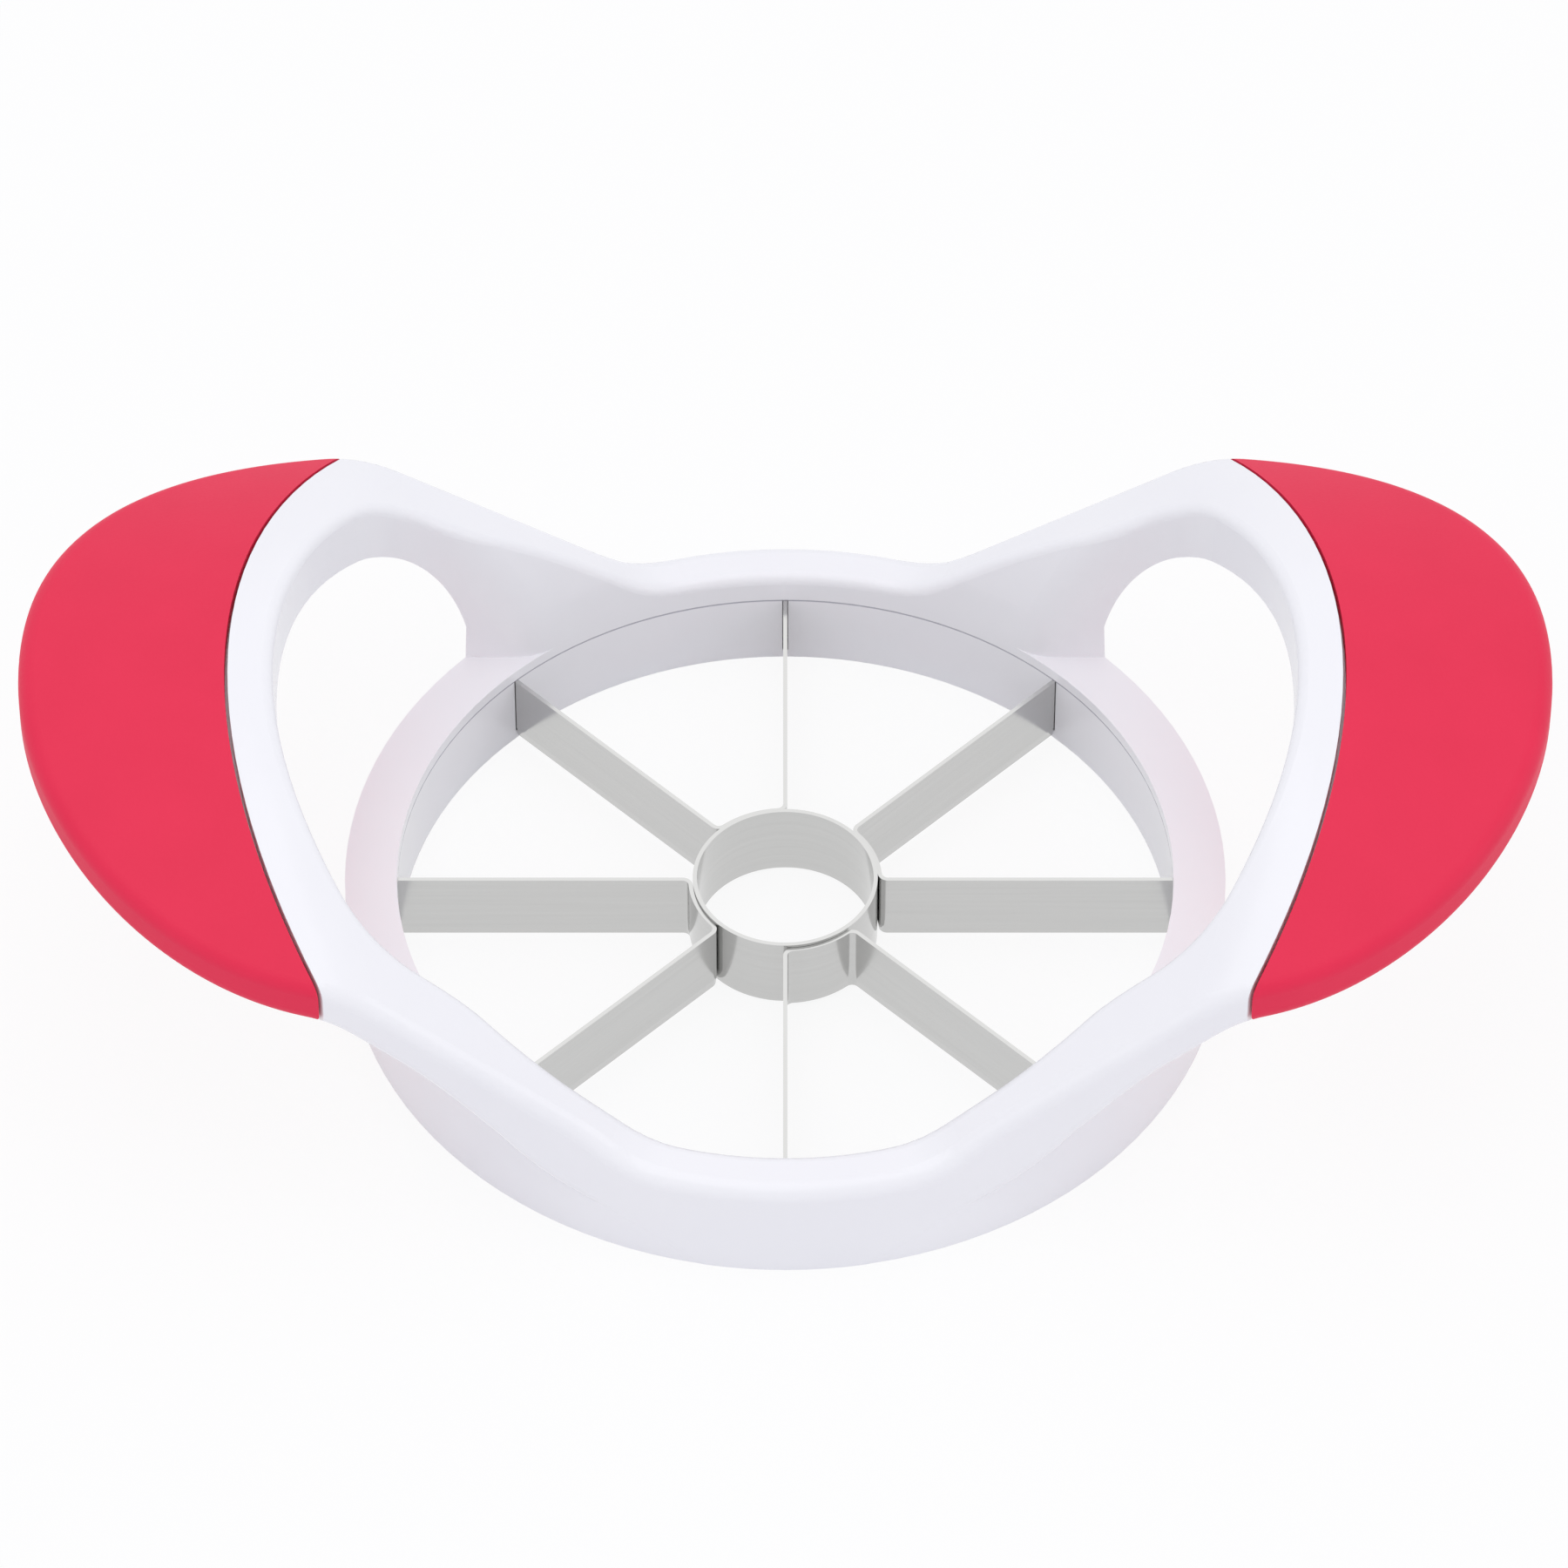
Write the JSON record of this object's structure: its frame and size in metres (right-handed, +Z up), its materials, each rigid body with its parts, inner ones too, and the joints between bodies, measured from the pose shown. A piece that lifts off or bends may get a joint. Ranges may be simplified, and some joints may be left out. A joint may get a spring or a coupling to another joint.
{
  "type": "fruit slicer",
  "caption": "Push-down fruit slicer and corer: cutting ring with radial blades round a core ring, and two raised handle loops with soft grips.",
  "frame": {"origin": "on the table, under the centre of the cutting ring", "axes": "+X towards the right handle, +Y to the back, +Z up"},
  "size_m": [0.1796, 0.1056, 0.0492],
  "materials": {
    "white_plastic": "gloss",
    "stainless": "satin",
    "red_grip": "matt"
  },
  "bodies": {
    "root": {"frame": "white_plastic", "blade_ring": "white_plastic", "core_ring": "stainless", "blade_strip_1": "stainless", "blade_strip_2": "stainless", "blade_strip_3": "stainless", "blade_strip_4": "stainless", "left_grip": "red_grip", "right_grip": "red_grip"}
  },
  "joints": []
}
